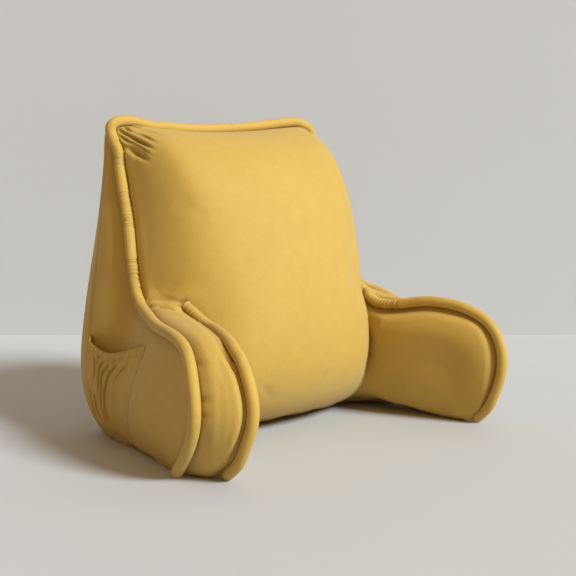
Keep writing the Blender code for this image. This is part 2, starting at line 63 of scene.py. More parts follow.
# Creases of the cover, each a smooth line through (x, y, z) points. A negative depth is a ridge.
CORNER_GATHERS = (
    # (width, depth), points from the seam outwards
    (
        (0.0030, 0.0058),
        ((-0.174, 0.160, 0.457), (-0.165, 0.142, 0.456), (-0.157, 0.119, 0.450), (-0.146, 0.090, 0.441)),
    ),
    (
        (0.0030, 0.0066),
        ((-0.182, 0.160, 0.456), (-0.177, 0.133, 0.447), (-0.170, 0.114, 0.440), (-0.163, 0.084, 0.429)),
    ),
    (
        (0.0030, 0.0066),
        ((-0.190, 0.160, 0.451), (-0.184, 0.143, 0.443), (-0.177, 0.125, 0.434), (-0.170, 0.084, 0.420)),
    ),
    (
        (0.0031, 0.0062),
        ((-0.191, 0.157, 0.444), (-0.186, 0.140, 0.434), (-0.181, 0.120, 0.426), (-0.174, 0.086, 0.410)),
    ),
    (
        (0.0044, 0.0056),
        ((-0.187, 0.152, 0.428), (-0.183, 0.138, 0.421), (-0.179, 0.118, 0.413), (-0.177, 0.090, 0.404)),
    ),
)
ROOT_ROLLS = (
    # (width, depth), points from the outer piping to the inner one
    (
        (0.0050, 0.0030),
        ((-0.213, 0.060, 0.208), (-0.202, 0.044, 0.212), (-0.192, 0.028, 0.211), (-0.180, 0.014, 0.204)),
    ),
    (
        (0.0046, -0.0044),
        ((-0.216, 0.042, 0.204), (-0.211, 0.026, 0.207), (-0.203, 0.010, 0.206), (-0.190, 0.000, 0.200)),
    ),
    (
        (0.0034, 0.0050),
        ((-0.220, 0.022, 0.203), (-0.213, 0.006, 0.205), (-0.205, -0.010, 0.203), (-0.194, -0.018, 0.196)),
    ),
)
BOXING_PUCKERS = (
    # (width, depth), points from the outer piping across the left arm's boxing
    ((0.0050, 0.0022), ((-0.281, -0.143, 0.154), (-0.276, -0.160, 0.157), (-0.270, -0.169, 0.160))),
    ((0.0036, 0.0036), ((-0.290, -0.167, 0.114), (-0.286, -0.181, 0.116), (-0.281, -0.190, 0.118))),
    ((0.0034, 0.0030), ((-0.291, -0.166, 0.094), (-0.288, -0.184, 0.097), (-0.284, -0.193, 0.098))),
)
FRONT_WRINKLES = (
    # (width, depth), points on the front panel
    ((0.0060, 0.0018), ((-0.086, -0.053, 0.088), (-0.072, -0.047, 0.070), (-0.047, -0.040, 0.055))),
    ((0.0050, 0.0014), ((0.023, -0.064, 0.097), (0.023, -0.061, 0.088), (0.023, -0.058, 0.080))),
)
HOLLOWS = (
    # (width, depth), points: the front panel draws in above the right arm and fills out at its foot
    (
        (0.042, 0.0100),
        ((0.139, 0.004, 0.345), (0.138, -0.012, 0.275), (0.131, -0.031, 0.215), (0.128, -0.040, 0.165)),
    ),
    (
        (0.030, -0.0060),
        ((0.172, 0.034, -0.030), (0.172, 0.026, 0.020), (0.170, 0.016, 0.060), (0.168, 0.010, 0.110)),
    ),
)
SIDE_SEAM = (0.0042, 0.0024)  # width and depth
SIDE_SEAM_LINE = (
    # points down the left side panel's rear seam, alike on the right
    (-0.199, 0.172, 0.440),
    (-0.207, 0.174, 0.377),
    (-0.215, 0.171, 0.318),
    (-0.225, 0.166, 0.260),
    (-0.236, 0.162, 0.202),
    (-0.247, 0.154, 0.146),
)
REFINED = (
    # centre and radius of the places whose mesh is made finer for their creases
    ((-0.170, 0.122, 0.438), 0.033),
    ((-0.202, 0.012, 0.207), 0.020),
)
CREASE_REACH = 3.5  # how many of its widths round a crease the cover moves
CREASE_RIM = 0.32  # height of the rim beside a crease, as a share of its depth
CREASE_STEP = 0.004  # between the points of a crease's line
HOLLOW_STEP = 0.01  # the same for a hollow and for a side seam

FULL_SHADE_DEPTH = 0.0065  # depth of a crease whose painted shade is as dark as it gets
SEAM_SHADE = (0.85, 0.0026)  # how dark the painted shade beside a piping is, and how far that reaches

GROOVE = (0.0080, 0.010)  # how far the boxing turns down beside an inner piping, and its width
ROOT_GROOVE = (0.0100, 0.013)  # how much further along the arm's top, and its width

# ------------------------------ the cover's filling

# How far the filling rounds the cover up beside its seams: the rise, and how far from the seam it goes on.
ARM_CROWN = (0.0280, 0.050)
BOXING_CROWN = (0.0035, 0.034)
PANEL_CROWN = (0.0015, 0.030)
CROWN_START = 0.003  # how far from a seam's middle line the last two begin
ARM_START = 0.0010  # how far inside an inner seam the arm's inner face begins
FILL_BLEND = 0.002  # softens where that face begins to swell
SEAM_KNOTS = 12  # every so many points of a seam's line are used for its smooth distance
SEAM_SOFTNESS = 0.006  # keeps that distance smooth at the seam itself
SEAM_TURN = (0.9, 0.022)  # how far the cover counts as turned inwards at an inner seam, and its reach
SEAM_BLEND = 0.004  # width over which one side of an inner seam gives way to the other

# Where a form begins, and over how much it sets in. The second is negative towards smaller values.
ARM_FACING = (0.20, 0.45)  # by how far the arm's inner face turns inwards
ARM_ROOT = (0.015, -0.05)  # by the y where that face leaves the back
ARM_TOP = (0.150, 0.025)  # by height, for the deeper groove along the arm's top
BOXING_WIDTH = (0.085, -0.015)  # by the distance from the further of its two seams
BOXING_FACING = (0.80, -0.35)  # by how far the boxing turns sideways
BOXING_SIDE = (0.75, -0.5)  # by how far it turns inwards, for its groove
BOXING_TURN = (-0.105, -0.05)  # by the y where the boxing turns down at the arms' fronts
LIFT_INSIDE = (0.245, -0.02)  # by the |x| beyond which the underside stays down
POCKET_FACING = (0.2, 0.5)  # by how far the side panel faces left
ROOT_BLEND = 0.020  # over how much y a groove begins at the arm's root

FLOOR_ROUND = 0.028  # height over which the cover rounds up from the floor
FOOT_REACH = 0.042  # how far round an inner piping's foot the cover is drawn to it
CHANNEL_GAP = 0.0002  # between a piping and the channel of the cover that it sits in
LIFTS = (
    # x, y, height: where the underside stands off the floor, alike on both sides
    (0.000, 0.020, 0.0060),
    (0.045, 0.024, 0.0080),
    (0.105, 0.034, 0.0070),
    (0.180, 0.030, 0.0120),
    (0.215, 0.000, 0.0140),
    (0.216, -0.048, 0.0100),
    (0.220, -0.100, 0.0040),
)
LIFT_REACH = 0.034  # how far round its place a lift is felt
LIFT_HEIGHT = 0.070  # above the floor, where a lift is no longer felt

SEAM_HOLD = 0.030  # how far from a seam the sewing still holds the cover while it fills
STANDING = 0.002  # the cover below this height stays on the floor
PINNED = 1.6  # how much more than it is held the cover is pinned in the simulation, up to wholly
CLOTH_SETTINGS = {
    "use_pressure": True,
    "quality": 4,
    "tension_stiffness": 12,
    "compression_stiffness": 12,
    "bending_stiffness": 0.3,
}
MERGED = 1e-5  # points nearer than this become one

# Places where a seam and the cover beside it wander from their solids: centre, shift, and its reach.
SEAM_WANDERS = (
    ((-0.286, -0.125, 0.165), (0.0060, -0.0046, 0.0034), 0.045),
    ((-0.198, 0.145, 0.385), (0.0032, -0.0027, 0.0006), 0.030),
    ((-0.241, -0.208, 0.050), (-0.0022, 0.0021, 0.0010), 0.035),
    ((0.187, 0.000, 0.203), (-0.0030, 0.0060, -0.0110), 0.030),
    ((0.262, -0.020, 0.185), (-0.0010, 0.0000, -0.0195), 0.062),
    ((0.225, 0.055, 0.205), (0.0000, 0.0000, -0.0050), 0.035),
    ((0.200, -0.090, 0.185), (0.0000, 0.0000, 0.0050), 0.050),
    ((-0.198, 0.159, 0.450), (-0.0032, 0.0027, 0.0), 0.011),
    ((-0.198, 0.155, 0.416), (0.0038, -0.0033, 0.0), 0.015),
    ((-0.128, 0.162, 0.459), (0.0, 0.0, -0.0034), 0.020),
    ((-0.172, 0.162, 0.464), (0.0, 0.0, 0.0012), 0.016),
)

# ------------------------------ the piping's sizes

PIPING_ROUND = 0.0080  # radius of the fat welt
PIPING_SIDES = 24
PIPING_PITCH = 0.00065  # between its rings of points
PIPING_FOOT = 0.0006  # the least height of its middle line, whose rings are then pressed on the floor
SEAT_ROUNDS = 30  # of evening, for how far its line is drawn in to the cover
DOWN_ROUNDS = 40  # of evening, for the side on which it touches the cover
SPLINE_POINTS = 12  # worked out between two controls of its line
ON_FLOOR = 0.02  # an end of a middle line below this height is a foot
FOOT_EXTRA = {"piping_outer": 0.003, "piping_inner_left": 0.001, "piping_inner_right": 0.001}
FOOT_POINTS = 14  # points of a track at its foot, where the cover closes round it
ROOT_EXTRA = 0.004  # how much further an inner piping runs into the crease at its root
ROOT_TUCKED = 10  # points of its middle line that lie in that crease
DOME = 0.8 * PIPING_ROUND  # length of the round end at its root
DOME_TIP = 0.02  # radius of that end's tip, as a share

# Where the velour is gathered on a piping, as metres along it: from, to, how deep, and the gathers' pitch.
GATHERS = {
    "piping_outer": (
        (0.335, 0.400, 0.00120, 0.0048),
        (0.860, 0.866, 0.00100, 0.0060),
        (1.110, 1.144, 0.00100, 0.0044),
        (1.188, 1.242, 0.00120, 0.0044),
        (1.290, 1.352, 0.00170, 0.0040),
        (1.352, 1.400, 0.00120, 0.0040),
    ),
    "piping_inner_left": ((0.008, 0.085, 0.00180, 0.0046),),
    "piping_inner_right": ((0.004, 0.080, 0.00180, 0.0050),),
}
GATHER_SEED = 5
RIB_SHADE_DEPTH = 0.0034  # depth of a gather whose painted shade is as dark as it gets
RIB_DEPTHS = (0.6, 1.3)  # least and most, as shares of the depth in the table
RIB_PITCHES = (0.75, 1.3)  # the same for the pitch
RIB_WIDTHS = (0.24, 0.34)  # the same for a rib's width, as shares of the pitch
RIB_SLANT = 0.0008  # most that a rib leans along the piping
RIB_LEAN = 0.25  # how much a rib's depth changes round the piping

# ------------------------------ the pocket's sizes

POCKET_ROWS = (
    # front_y, front_z, rear_y, rear_z, sag: the seams and the sag between them, from the mouth down
    (-0.0096, 0.157, 0.1600, 0.152, 0.0235),
    (0.0064, 0.116, 0.1554, 0.116, 0.012),
    (0.0214, 0.078, 0.1554, 0.078, 0.005),
    (0.0344, 0.042, 0.1504, 0.042, 0.000),
    (0.0374, 0.012, 0.1384, 0.012, 0.000),
)
POCKET_FOLDS = (
    # (width, depth), points as shares (across from the front seam, down from the mouth)
    ((0.0026, 0.0050), ((0.90, 0.08), (0.91, 0.22), (0.92, 0.36), (0.95, 0.50))),
    ((0.0024, 0.0046), ((0.78, 0.10), (0.77, 0.18), (0.77, 0.30), (0.78, 0.42))),
    ((0.0026, 0.0060), ((0.61, 0.09), (0.66, 0.17), (0.69, 0.26), (0.67, 0.49), (0.65, 0.62))),
    (
        (0.0026, 0.0056),
        ((0.54, 0.06), (0.55, 0.16), (0.63, 0.28), (0.61, 0.47), (0.58, 0.69), (0.47, 0.83), (0.33, 0.90)),
    ),
    (
        (0.0030, 0.0066),
        ((0.37, 0.11), (0.45, 0.18), (0.52, 0.27), (0.54, 0.42), (0.53, 0.58), (0.49, 0.74), (0.31, 0.88)),
    ),
    ((0.0032, 0.0036), ((0.23, 0.14), (0.30, 0.20), (0.37, 0.27), (0.42, 0.38))),
    ((0.0028, 0.0052), ((0.76, 0.50), (0.74, 0.62), (0.71, 0.72), (0.62, 0.86))),
    ((0.0024, 0.0040), ((0.70, 0.05), (0.71, 0.12), (0.73, 0.22))),
    ((0.0024, 0.0034), ((0.46, 0.05), (0.47, 0.10), (0.50, 0.17))),
    ((0.0030, 0.0040), ((0.86, 0.46), (0.84, 0.62), (0.80, 0.76), (0.72, 0.92))),
)
FOLD_FADE = (0.15, 0.45)  # shares of a fold over which it sets in and dies out
FOLD_RIM = (0.35, 2.1)  # height and width of the rim beside a fold, as shares of its own
POCKET_WIDE = 0.160
POCKET_TALL = 0.145
POCKET_GRID = (150, 120)
POCKET_CLOTH = 0.0014  # thickness
POCKET_RECESS = 0.0022  # how far the cover is let in under the pocket's seams
POCKET_EDGE = 0.006  # width over which that sets in
POCKET_PUFF = 0.0068  # how far the gathered cloth stands off the cover, towards its rear
POCKET_FLAT = 0.20  # share of that at its front
POCKET_FULL = (0.10, 0.50)  # where across it the cloth begins to puff, and over how much
SIDE_RISE = 7  # how steeply the cloth comes up from its side seams, against its width
LOWER_RISE = 6  # the same from its lower seam, against its height
EDGE_SUNK = 0.0006  # how far its sewn edges are sunk
POCKET_SHADE_DEPTH = 0.0048  # depth of a fold whose painted shade is as dark as it gets
STITCH_SHADOWS = (
    # painted shadows of the sewn edge's step and of the stitching groove: how far inside the edge, how
    # dark, width
    (0.0, 0.6, 0.0012),
    (0.007, 0.3, 0.001),
)
DROOP_PEAK = 0.0843  # greatest value of the droop curve
DROOP_REAR = 1.6  # power with which the droop ends towards the rear
MOUTH_STAND = 0.011  # how far the mouth stands open
MOUTH_SHAPE = (1.7, 0.8)  # powers for how far back it stands most open, and how round it is
MOUTH_REAR = 0.14  # share of its width over which it closes at the rear
MOUTH_DEEP = (0.40, 1.6)  # how far down it stands open, and the power with which it closes
HEM = (0.085, 0.012, 0.0009)  # how far down the mouth's hem is stitched, the stitching's width and depth
RIPPLES = (0.28, 0.0008, 12.5)  # how far down the mouth ripples, how high and how many
RIPPLE_DRIFT = (1.3, 17)  # how far and how often their spacing drifts
OUTWARD_REACH = 0.012  # how far round a place the cover's facing is averaged
LEFT_OF_ALL = -0.40  # x from which the cover is looked for

# ------------------------------ the velour's and the stage's values

# Patterns of the pile: scale, detail and roughness.
PATCHES = (9.0, 3.0, 0.5)
STROKES = (55.0, 4.0, 0.6)
NAP = (480.0, 4.0, 0.75)
TONES = (0.3, 0.25, 0.45)  # how much of the pile's tone each of them gives
PILE_SHADES = (0.70, 1.30)  # of the pile's colour, from its darkest to its lightest tone
CREASE_SHADE = (0.6, 0.38)  # how far a crease's painted shade darkens the pile, and towards which darker tone of its colour
PILE_ROUGHNESS = (0.82, 0.10)  # most, and how much less on the strokes
PILE_BUMP = (0.5, 0.0007)  # strength and distance
NAP_BUMP = 0.8
STROKE_BUMP = 0.6
SHEEN_ROUGHNESS = 0.75
SHEEN_TINT = (1.0, 1.0, 0.85, 1.0)
PILE_GLINT = 1.0  # level of the pile's clear reflections, usually 0.5

CAMERA_PLACE = (-1.14716, -1.32247, 0.42821)
CAMERA_TURN = (83.082, 0.0, -41.034)  # degrees
CAMERA_LENS = 73.587
CAMERA_SENSOR = 36.0
SUN_FROM = (0.22, -0.80, 0.56)
SUN_SOFTNESS = math.radians(16)
SUN_COLOUR = (0.94, 1.02, 1.05)
ROOM_COLOUR = (1.0, 0.64, 0.25, 1.0)  # of the light from all around
BACKDROP = (0.55, 0.55, 0.54, 1.0)  # what shows past the floor's edges
STAGE = 30.0  # width and depth of the floor
WALL_AWAY = 2.643  # from the camera to where the floor meets the backdrop
WALL_TALL = 5
FLOOR_CLOUDS = (1.6, 4.0, 0.5)  # scale, detail and roughness
FLOOR_SHADES = (0.97, 1.03)
FLOOR_ROUGHNESS = 0.75

# ------------------------------ properties


class PillowCover(bpy.types.PropertyGroup):
    """Sizes of the stuffed cover."""

    pressure: FloatProperty(name="Stuffing pressure", description="Push of the filling", default=4.0)
    swell: FloatProperty(
        name="Swell",
        description="The most that the filling pushes the cover out",
        default=0.005,
        unit="LENGTH",
    )
    slack: FloatProperty(
        name="Slack",
        description="How far the cover starts inside its filled shape",
        default=0.003,
        unit="LENGTH",
    )
    steps: IntProperty(name="Steps", description="Frames over which the cover fills", default=20)


class PillowCloth(bpy.types.PropertyGroup):
    """Colours of the velour."""

    velour: FloatVectorProperty(
        name="Velour", description="Colour of the pile", subtype="COLOR", default=(0.46, 0.274, 0.012)
    )
    welt: FloatVectorProperty(
        name="Piping",
        description="Colour of the piping's velour",
        subtype="COLOR",
        default=(0.47, 0.282, 0.014),
    )
    sheen: FloatProperty(
        name="Sheen", description="Pale light that the pile catches", default=0.12, subtype="FACTOR"
    )


class PillowStudio(bpy.types.PropertyGroup):
    """The light around the pillow."""

    key: FloatProperty(name="Sunlight", description="Strength of the sun", default=4.3)
    fill: FloatProperty(name="Fill", description="Strength of the light from all around", default=0.42)
    floor: FloatVectorProperty(
        name="Floor", description="Colour of the floor", subtype="COLOR", default=(0.51, 0.515, 0.53)
    )


# ------------------------------ helpers


def deselect():
    bpy.ops.object.select_all(action="DESELECT")


def mode(name):
    bpy.ops.object.mode_set(mode=name)


def activate(piece):
    deselect()
    piece.select_set(True)
    bpy.context.view_layer.objects.active = piece


def finish_with(piece, kind, **settings):
    """Adds a modifier with its settings and applies it."""
    activate(piece)
    modifier = piece.modifiers.new("step", kind)
    for name, value in settings.items():
        setattr(modifier, name, value)
    bpy.ops.object.modifier_apply(modifier=modifier.name)


def places(piece):
    """The piece's points as rows."""
    rows = np.empty(len(piece.data.vertices) * 3)
    piece.data.vertices.foreach_get("co", rows)
    return rows.reshape(-1, 3)


def facings(piece):
    """The directions in which the piece's points face."""
    rows = np.empty(len(piece.data.vertices) * 3)
    piece.data.vertices.foreach_get("normal", rows)
    return rows.reshape(-1, 3)


def move_to(piece, rows):
    piece.data.vertices.foreach_set("co", np.ascontiguousarray(rows, float).ravel())
    piece.data.update()


def surface_of(piece):
    points = [vertex.co for vertex in piece.data.vertices]
    return BVHTree.FromPolygons(points, [tuple(face.vertices) for face in piece.data.polygons])


def tree_of(points):
    tree = KDTree(len(points))
    for i, point in enumerate(points):
        tree.insert(point, i)
    tree.balance()
    return tree


def clamped(values):
    """The values kept between 0 and 1."""
    return np.clip(values, 0, 1)


def past(values, start, span):
    """How far the values are past a start, from 0 to 1 over a span. A negative span looks the other way."""
    return clamped((values - start) / span)


def eased(share):
    """A share that leaves 0 and reaches 1 softly."""
    return share * share * (3 - 2 * share)


def bell(away, reach):
    """A weight of 1 that falls off softly over a reach."""
    return np.exp(-((away / reach) ** 2))


def rounded(share):
    """A quarter round from 0 to 1."""
    return np.sqrt(1 - (1 - clamped(share)) ** 2)


def mirrored(line, side):
    """The line for a side of 1, and its mirror image for a side of -1."""
    return [(side * x, y, z) for x, y, z in line]


def unit(rows):
    return rows / np.maximum(np.linalg.norm(rows, axis=1, keepdims=True), 1e-9)


def evened(rows, rounds):
    """The rows with each one eased towards its neighbours."""
    for _ in range(rounds):
        rows = np.vstack((rows[:1], (rows[:-2] + 2 * rows[1:-1] + rows[2:]) / 4, rows[-1:]))
    return rows


def smooth_line(points, step):
    """A smooth line through the points, with its own points about one step apart."""
    rows = np.array(points, float)
    ends = np.vstack((2 * rows[0] - rows[1], rows, 2 * rows[-1] - rows[-2]))
    made = []
    for before, start, end, after in zip(ends, ends[1:], ends[2:], ends[3:]):
        count = max(2, round(np.linalg.norm(end - start) / step))
        share = np.linspace(0, 1, count, endpoint=False)[:, None]
        bend = (2 * before - 5 * start + 4 * end - after) * share**2
        twist = (3 * start - before - 3 * end + after) * share**3
        made.append(start + ((end - before) * share + bend + twist) / 2)
    return np.vstack((*made, rows[-1:]))


def b_spline(controls, step):
    """The even smooth curve that a chain of controls draws, with its ends kept."""
    ends = np.vstack((2 * controls[0] - controls[1], controls, 2 * controls[-1] - controls[-2]))
    spans = []
    for i in range(len(ends) - 3):
        share = np.linspace(0, 1, SPLINE_POINTS, endpoint=False)[:, None]
        spans.append(
            (1 - share) ** 3 / 6 * ends[i]
            + (3 * share**3 - 6 * share**2 + 4) / 6 * ends[i + 1]
            + (-3 * share**3 + 3 * share**2 + 3 * share + 1) / 6 * ends[i + 2]
            + share**3 / 6 * ends[i + 3]
        )
    line = np.vstack((*spans, controls[-1:]))
    along = lengths_along(line)
    at = np.linspace(0, along[-1], round(along[-1] / step) + 1)
    return np.stack([np.interp(at, along, line[:, k]) for k in range(3)], axis=1)


def lengths_along(line):
    return np.concatenate(([0.0], np.cumsum(np.linalg.norm(np.diff(line, axis=0), axis=1))))


def away_and_along(points, line):
    """How far each point is from a line, and how far along the line it lies, from 0 to 1."""
    along = lengths_along(line)
    away = np.full(len(points), np.inf)
    share = np.zeros(len(points))
    for i in range(len(line) - 1):
        way = line[i + 1] - line[i]
        part = np.clip((points - line[i]) @ way / (way @ way), 0, 1)
        distance = np.linalg.norm(points - line[i] - part[:, None] * way, axis=1)
        nearer = distance < away
        away[nearer] = distance[nearer]
        share[nearer] = (along[i] + part[nearer] * (along[i + 1] - along[i])) / along[-1]
    return away, share


def press(points, normals, line, width, depth, rise, fall, rim=CREASE_RIM, painted_shade=None):
    """Presses a soft crease with a raised rim into the points, and records how much painted shade it gets.

    It sets in over its rise and dies out over its fall, which are shares of its line. A negative depth
    makes a ridge.
    """
    reach = CREASE_REACH * width
    near = np.all((points > line.min(0) - reach) & (points < line.max(0) + reach), axis=1)
    near = np.flatnonzero(near)
    away, share = away_and_along(points[near], line)
    fade = eased(clamped(share / rise) * clamped((1 - share) / fall))
    profile = bell(away, width) - rim * bell(away, 2 * width)
    points[near] -= normals[near] * (depth * fade * profile)[:, None]
    if painted_shade is not None:
        shadow = clamped(depth / FULL_SHADE_DEPTH) * fade * bell(away, width)
        painted_shade[near] = np.maximum(painted_shade[near], shadow)


def keep_painted_shade(piece, painted_shade):
    """Keeps how much painted shade each point gets from its crease, fold, gather or seam, for the velour's
    colour.
    """
    layer = piece.data.attributes.new("crease", "FLOAT", "POINT")
    layer.data.foreach_set("value", np.clip(painted_shade, 0, 1).astype(np.float32))


# ------------------------------ seams


def centreline(node):
    """The middle line of a piping's solid, read from its rings of points, from its upper or right end."""
    build = bmesh.new()
    build.from_mesh(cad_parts[node].data)
    bmesh.ops.remove_doubles(build, verts=build.verts, dist=MERGED)
    flat = build.copy()
    bmesh.ops.dissolve_limit(flat, angle_limit=math.radians(0.5), verts=flat.verts, edges=flat.edges)
    cap = min(flat.faces, key=lambda face: face.calc_perimeter() ** 2 / face.calc_area())
    end = {tuple(round(x, 6) for x in vertex.co) for vertex in cap.verts}
    flat.free()
    ring = [vertex for vertex in build.verts if tuple(round(x, 6) for x in vertex.co) in end]
    seen = set(ring)
    middles = []
    while ring:
        middles.append(sum((vertex.co for vertex in ring), Vector()) / len(ring))
        ahead = {edge.other_vert(vertex) for vertex in ring for edge in vertex.link_edges}
        ring = [vertex for vertex in ahead if vertex not in seen]
        seen.update(ring)
    build.free()
    line = np.array(middles)
    first, last = ((round(end[2], 1), end[0]) for end in (line[0], line[-1]))
    return line if first > last else line[::-1]


def nearest_on(points, lines):
    """How far each point is from the nearest of the lines, and its nearest place there."""
    tree = tree_of(np.vstack(lines))
    found = [tree.find(point) for point in points]
    return np.array([away for _, _, away in found]), np.array([place for place, _, _ in found])


def wandered(points):
    """The points as the seams near them wander."""
    for centre, shift, reach in SEAM_WANDERS:
        away = np.linalg.norm(points - centre, axis=1, keepdims=True)
        points = points + np.array(shift) * bell(away, reach)
    return points


def seam_track(node):
    """The middle line of a piping, as the seam wanders, from its tucked root down to the floor."""
    line = centreline(node)
    if line[0][2] > ON_FLOOR:
        line = np.vstack((line[0] + ROOT_EXTRA * unit(line[:1] - line[2:3])[0], line))
    line = wandered(line)
    for _ in range(2):
        if line[0][2] < ON_FLOOR:
            foot = line[0] - FOOT_EXTRA[node] * unit(line[1:2] - line[:1])[0]
            line = np.vstack((foot, line))
        line = line[::-1]
    return b_spline(line, PIPING_PITCH)


def seated_track(node, surface):
    """The track, drawn in where its solid stood off the cover, so that the piping touches it."""
    track = seam_track(node)
    nearest = np.array([surface.find_nearest(point)[0] for point in track])
    ways = nearest - track
    gaps = np.linalg.norm(ways, axis=1, keepdims=True)
    shift = ways / np.maximum(gaps, 1e-6) * np.maximum(0, gaps - PIPING_ROUND)
    track = track + evened(shift, SEAT_ROUNDS)
    track[:, 2] = np.maximum(track[:, 2], PIPING_FOOT)
    return track


def above_feet(track):
    """The track without the ends that the floor cuts off."""
    first, last = (FOOT_POINTS if end[2] < ON_FLOOR else 0 for end in (track[0], track[-1]))
    return track[first : len(track) - last]


# ------------------------------ shader maths


class Value:
    """An output of a node, so that shader maths reads as Python."""

    def __init__(self, finish, socket):
        self.finish = finish
        self.socket = socket

    def maths(self, operation, *values):
        sockets = dict(enumerate(values))
        return self.finish.add("ShaderNodeMath", {"operation": operation}, sockets)["Value"]

    def __add__(self, other):
        return self.maths("ADD", self, other)

    __radd__ = __add__

    def __sub__(self, other):
        return self.maths("SUBTRACT", self, other)

    def __rsub__(self, other):
        return self.maths("SUBTRACT", other, self)

    def __mul__(self, other):
        return self.maths("MULTIPLY", self, other)

    __rmul__ = __mul__


class Outputs:
    """The outputs of one node, by name."""

    def __init__(self, finish, node):
        self.finish = finish
        self.node = node

    def __getitem__(self, name):
        return Value(self.finish, self.node.outputs[name])


class Finish:
    """The nodes of one material, or of the light from all around."""

    def __init__(self, owner):
        owner.use_nodes = True
        self.owner = owner
        self.nodes = owner.node_tree.nodes
        self.links = owner.node_tree.links

    def add(self, kind, settings=None, sockets=None):
        """A new node with its settings, and with the values or links of its sockets."""
        node = self.nodes.new(kind)
        for name, value in (settings or {}).items():
            setattr(node, name, value)
        return self.set(node, sockets or {})

    def set(self, node, sockets):
        """Gives a node's sockets their values or links."""
        for name, value in sockets.items():
            if isinstance(value, Value):
                self.links.new(value.socket, node.inputs[name])
            else:
                node.inputs[name].default_value = value
        return Outputs(self, node)

    def noise(self, place, scale, detail, roughness):
        sockets = {"Vector": place, "Scale": scale, "Detail": detail, "Roughness": roughness}
        return self.add("ShaderNodeTexNoise", {}, sockets)["Fac"]

    def mixed(self, factor, first, second):
        """A colour between two others."""
        return self.add("ShaderNodeMix", {"data_type": "RGBA"}, {0: factor, 6: first, 7: second})[2]


def shade(colour, factor):
    """A darker or lighter shade of a colour, with its alpha."""
    return (*(min(1.0, part * factor) for part in colour), 1.0)


def velour(name, colour, sheen):
    """Short-pile velour: soft tonal patches where the pile lies differently, a fine nap, and painted shade
    darkening it in creases, folds, gathers and beside seams.
    """
    finish = Finish(bpy.data.materials.new(name))
    place = finish.add("ShaderNodeTexCoord")["Object"]
    patches = finish.noise(place, *PATCHES)
    strokes = finish.noise(place, *STROKES)
    nap = finish.noise(place, *NAP)
    tone = patches * TONES[0] + strokes * TONES[1] + nap * TONES[2]
    # the crease attribute is painted shade: it darkens the pile's colour in creases, folds, gathers and
    # beside the pipings
    crease = finish.add("ShaderNodeAttribute", {"attribute_name": "crease"})["Fac"]
    pile = finish.mixed(tone, *(shade(colour, factor) for factor in PILE_SHADES))
    height = nap * NAP_BUMP + strokes * STROKE_BUMP
    strength, distance = PILE_BUMP
    bump = {"Strength": strength, "Distance": distance, "Height": height}
    sockets = {
        "Base Color": finish.mixed(crease * CREASE_SHADE[0], pile, shade(colour, CREASE_SHADE[1])),
        "Roughness": PILE_ROUGHNESS[0] - strokes * PILE_ROUGHNESS[1],
        "Normal": finish.add("ShaderNodeBump", {}, bump)["Normal"],
        "Sheen Weight": sheen,
        "Sheen Roughness": SHEEN_ROUGHNESS,
        "Sheen Tint": SHEEN_TINT,
        "Specular IOR Level": PILE_GLINT,
    }
    finish.set(finish.nodes["Principled BSDF"], sockets)
    return finish.owner


# ------------------------------ the cover


def sewn_copy():
    """The body's solid as a mesh of soft quads in place of its flat triangles."""
    cover = bpy.data.objects.new("cover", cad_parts["body"].data.copy())
    bpy.context.scene.collection.objects.link(cover)
    cover.data.materials.clear()
    activate(cover)
    mode("EDIT")
    bpy.ops.mesh.select_all(action="SELECT")
    bpy.ops.mesh.remove_doubles(threshold=MERGED)
    bpy.ops.mesh.tris_convert_to_quads(face_threshold=math.radians(60), shape_threshold=math.radians(70))
    mode("OBJECT")
    finish_with(cover, "SUBSURF", levels=1, render_levels=1)
    move_to(cover, wandered(places(cover)))
    return cover


def refine(cover):
    """Makes the mesh finer where the sharpest creases go."""
    points = places(cover)
    near = [np.linalg.norm(points - centre, axis=1) < radius for centre, radius in REFINED]
    activate(cover)
    mode("EDIT")
    bpy.ops.mesh.select_mode(type="VERT")
    bpy.ops.mesh.select_all(action="DESELECT")
    mode("OBJECT")
    cover.data.vertices.foreach_set("select", np.any(near, axis=0))
    mode("EDIT")
    bpy.ops.mesh.select_mode(type="FACE")
    bpy.ops.mesh.subdivide(number_cuts=1)
    bpy.ops.mesh.select_mode(type="VERT")
    mode("OBJECT")


def stuff(cover, sizes, lines):
    """Fills the cover by cloth simulation, held at its seams and where it stands."""
    start = places(cover)
    held = clamped(1 - nearest_on(start, lines)[0] / SEAM_HOLD)
    held[start[:, 2] < STANDING] = 1.0
    loose = (1 - held)[:, None]
    shrunk = start - facings(cover) * sizes.slack * loose
    move_to(cover, shrunk)
    group = cover.vertex_groups.new(name="held")
    for i, weight in enumerate(held):
        group.add([i], float(min(1.0, PINNED * weight)), "REPLACE")
    activate(cover)
    bpy.ops.object.modifier_add(type="CLOTH")
    cloth = cover.modifiers[-1]
    for name, value in CLOTH_SETTINGS.items():
        setattr(cloth.settings, name, value)
    cloth.settings.uniform_pressure_force = sizes.pressure
    cloth.settings.effector_weights.gravity = 0
    cloth.settings.vertex_group_mass = group.name
    scene = bpy.context.scene
    for step in range(1, sizes.steps + 1):
        scene.frame_set(step)
    graph = bpy.context.evaluated_depsgraph_get()
    rows = np.empty(len(start) * 3)
    cover.evaluated_get(graph).data.vertices.foreach_get("co", rows)
    moved = rows.reshape(-1, 3) - start
    cover.modifiers.remove(cloth)
    scene.frame_set(1)
    far = np.linalg.norm(moved, axis=1, keepdims=True)
    capped = moved * np.minimum(1, sizes.swell / np.maximum(far, 1e-9))
    move_to(cover, start + capped * loose)
    cover.vertex_groups.clear()


def make_room(points, lines, radius):
    """Moves the points that lie inside a piping out to its round, so that it sits in a channel."""
    track = np.vstack(lines)
    tree = tree_of(track)
    for i, point in enumerate(points):
        middle, _, away = tree.find(point)
        if away < radius:
            middle = np.array(middle)
            points[i] = middle + (point - middle) * radius / max(away, 1e-6)


